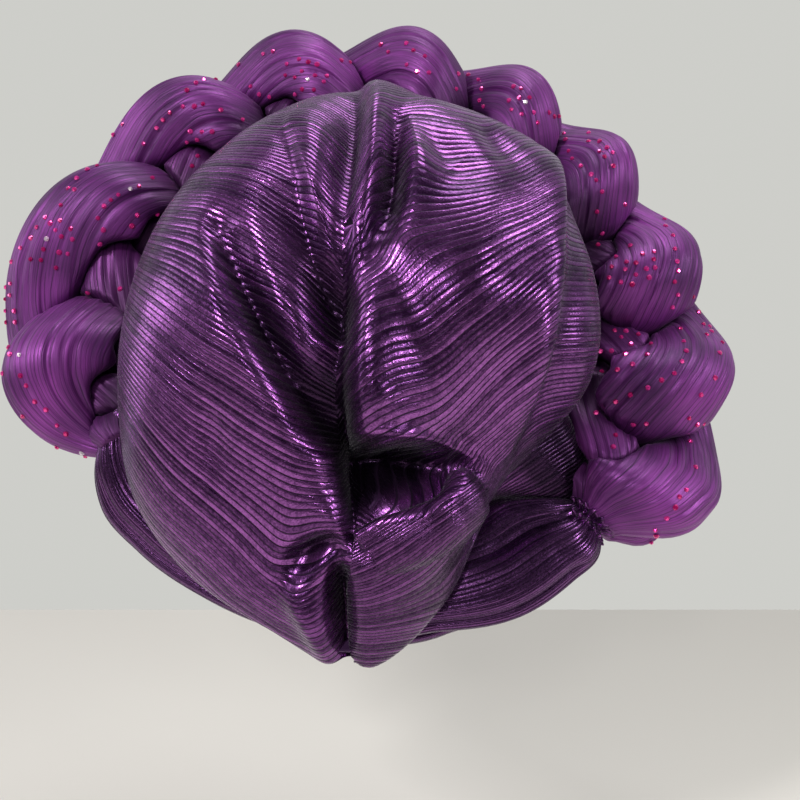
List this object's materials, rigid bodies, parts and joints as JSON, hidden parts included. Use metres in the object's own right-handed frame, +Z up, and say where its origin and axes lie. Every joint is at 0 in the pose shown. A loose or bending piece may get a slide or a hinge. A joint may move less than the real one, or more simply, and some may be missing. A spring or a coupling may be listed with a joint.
{
  "type": "tied gele head tie",
  "caption": "Ready-tied head wrap: a pleated metallic cap with a gathered bag over the back of the head, framed by a padded plaited halo that narrows to gathered bands at the nape.",
  "frame": {"origin": "middle of the head opening, in the plane of the halo", "axes": "+Y is the way the wearer faces, +Z is up, +X is the wearer's right; the halo plane leans forward at the top by 35 degrees"},
  "size_m": [0.3308, 0.2351, 0.2595],
  "materials": {
    "pleated_lame": "purple metallic plisse with fine ribs and a bright sheen",
    "padded_strand": "purple satin-like plisse over soft filling, with small fuchsia rhinestones glued on",
    "gathered_band": "purple metallic plisse gathered into a pinch"
  },
  "bodies": {
    "root": {"crown_bag": "pleated_lame", "tail_flap": "pleated_lame", "braid_strand_1": "padded_strand", "braid_strand_2": "padded_strand", "braid_strand_3": "padded_strand", "nape_band_left": "gathered_band", "nape_band_right": "gathered_band"}
  },
  "joints": []
}
